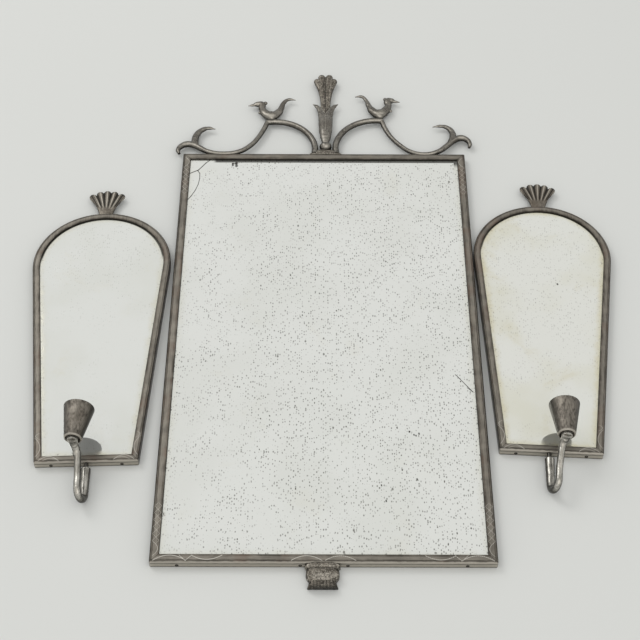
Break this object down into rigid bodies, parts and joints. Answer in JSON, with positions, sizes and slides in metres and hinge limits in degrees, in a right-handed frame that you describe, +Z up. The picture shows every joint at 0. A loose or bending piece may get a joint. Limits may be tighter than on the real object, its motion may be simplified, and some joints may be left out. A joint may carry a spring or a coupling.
{
  "type": "girandole mirror",
  "caption": "Tall pewter wall mirror with a crest of scrolls, birds and a plume, and a pair of arched mirrors with swivelling candle arms.",
  "frame": {"origin": "centre of the keyhole eye of the centre mirror's hanger, in the plane of the wall", "axes": "+X to the viewer's right along the wall, +Y into the wall, +Z up"},
  "size_m": [0.7348, 0.0648, 0.8289],
  "materials": {
    "pewter_frame": "aged pewter, dull with brown patches and engraved lines",
    "pewter_crest": "aged pewter, darker and rubbed bright on the raised parts",
    "pewter_casting": "aged cast pewter, dark in the hollows",
    "pewter_arm": "aged pewter, smooth and half glossy",
    "mirror_glass": "old silvered glass with dark specks and worn edges",
    "backboard": "unfinished pine board",
    "hanger_plate": "dull sheet brass",
    "steel_fixings": "plain steel"
  },
  "bodies": {
    "frames": {"centre_top_rail": "pewter_frame", "centre_bottom_rail": "pewter_frame", "centre_left_rail": "pewter_frame", "centre_right_rail": "pewter_frame", "centre_mirror_glass": "mirror_glass", "centre_backboard": "backboard", "centre_backboard_pins": "steel_fixings", "centre_hanger_plate": "hanger_plate", "centre_hanger_screws": "steel_fixings", "bottom_pendant": "pewter_casting", "crest_base_plate": "pewter_crest", "crest_ball": "pewter_crest", "crest_calyx": "pewter_crest", "crest_plume": "pewter_crest", "crest_left_arch_rod": "pewter_crest", "crest_left_scroll": "pewter_crest", "crest_left_horn": "pewter_crest", "crest_left_bird": "pewter_crest", "crest_right_arch_rod": "pewter_crest", "crest_right_scroll": "pewter_crest", "crest_right_horn": "pewter_crest", "crest_right_bird": "pewter_crest", "left_arch_rail": "pewter_frame", "left_bottom_rail": "pewter_frame", "left_shell_crest": "pewter_casting", "left_mirror_glass": "mirror_glass", "left_backboard": "backboard", "left_backboard_pins": "steel_fixings", "left_hanger_plate": "hanger_plate", "left_hanger_screws": "steel_fixings", "right_arch_rail": "pewter_frame", "right_bottom_rail": "pewter_frame", "right_shell_crest": "pewter_casting", "right_mirror_glass": "mirror_glass", "right_backboard": "backboard", "right_backboard_pins": "steel_fixings", "right_hanger_plate": "hanger_plate", "right_hanger_screws": "steel_fixings"},
    "left_arm": {"left_pivot_screw": "steel_fixings", "left_candle_arm": "pewter_arm", "left_candle_cup": "pewter_arm", "left_cup_rivets": "pewter_arm"},
    "right_arm": {"right_pivot_screw": "steel_fixings", "right_candle_arm": "pewter_arm", "right_candle_cup": "pewter_arm", "right_cup_rivets": "pewter_arm"}
  },
  "joints": [
    {"name": "left_arm_swivel", "type": "hinge", "parent": "frames", "child": "left_arm", "pos_m": [-0.27139, -0.00585, -0.44309], "axis": [-0.0342, 0, 0.9994], "range_deg": [-28.9, 61.1]},
    {"name": "right_arm_swivel", "type": "hinge", "parent": "frames", "child": "right_arm", "pos_m": [0.25941, -0.00585, -0.42756], "axis": [0.0553, 0, 0.9985], "range_deg": [-66.3, 23.7]}
  ]
}
